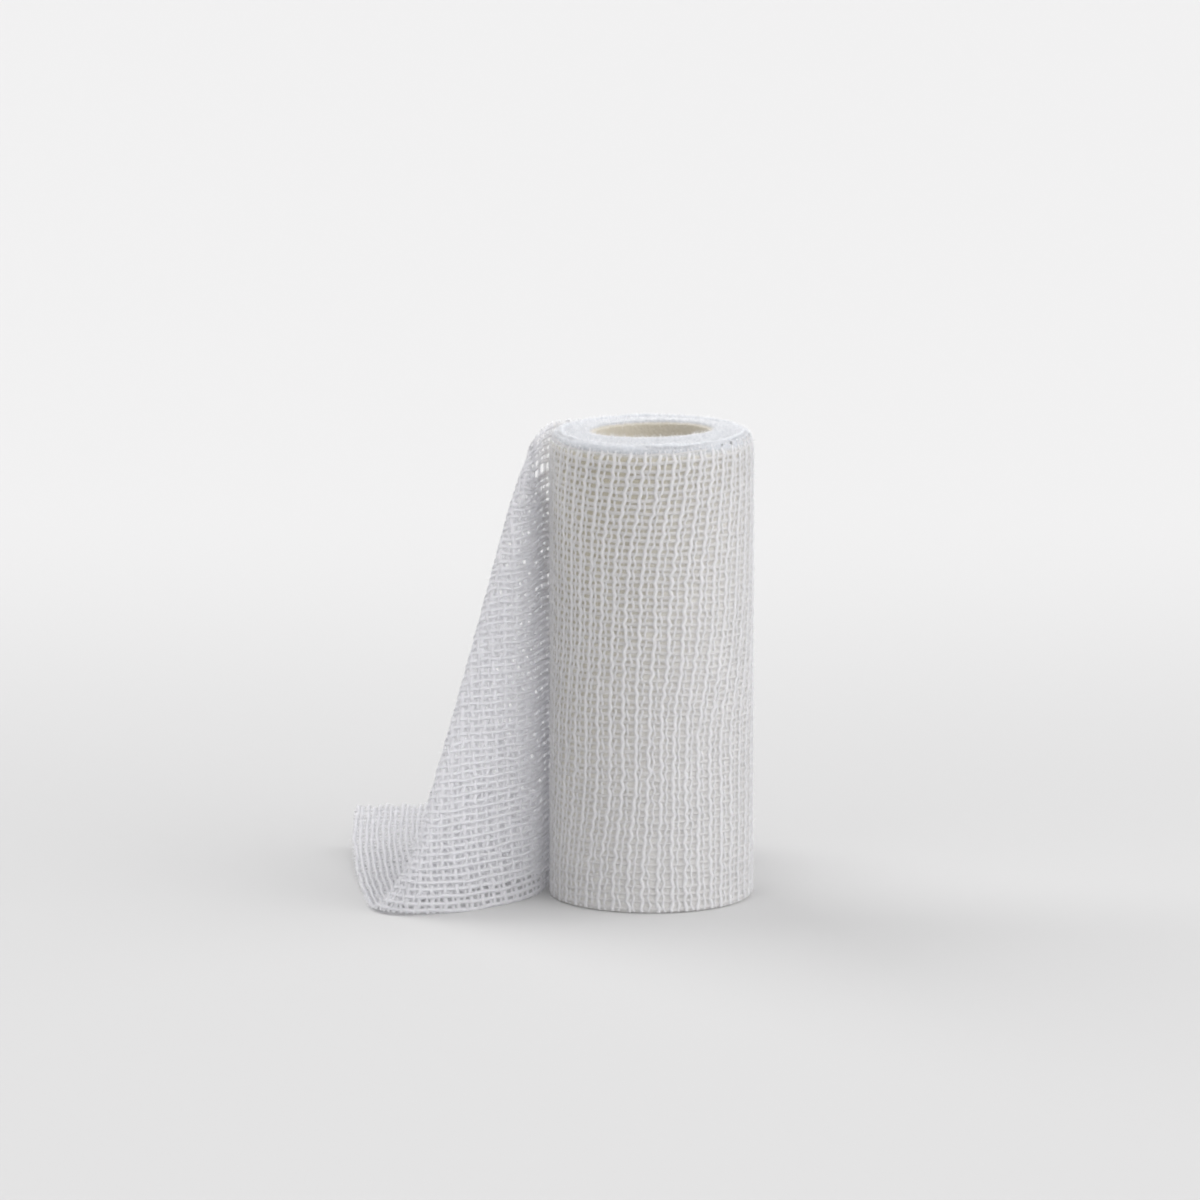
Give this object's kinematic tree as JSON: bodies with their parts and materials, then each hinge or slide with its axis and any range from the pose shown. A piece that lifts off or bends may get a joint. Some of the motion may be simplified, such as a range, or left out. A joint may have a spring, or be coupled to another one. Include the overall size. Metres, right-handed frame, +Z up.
{
  "type": "cohesive bandage",
  "caption": "Coreless roll of white open-weave cohesive gauze bandage, standing on end with its loose end folded over and lying out on the surface.",
  "frame": {"origin": "middle of the bandage's outline in plan, on the surface it stands on; the roll's axis is at X 21.4 mm, Y -15.5 mm", "axes": "+Z up along the roll's axis, -Y towards the side from which the loose end's fold is seen, with the loose end at -X"},
  "size_m": [0.0868, 0.0796, 0.1],
  "materials": {
    "roll": "matt wound open-weave gauze",
    "tail": "matt open-weave gauze, one layer"
  },
  "bodies": {
    "root": {"roll": "roll", "tail": "tail"}
  },
  "joints": []
}
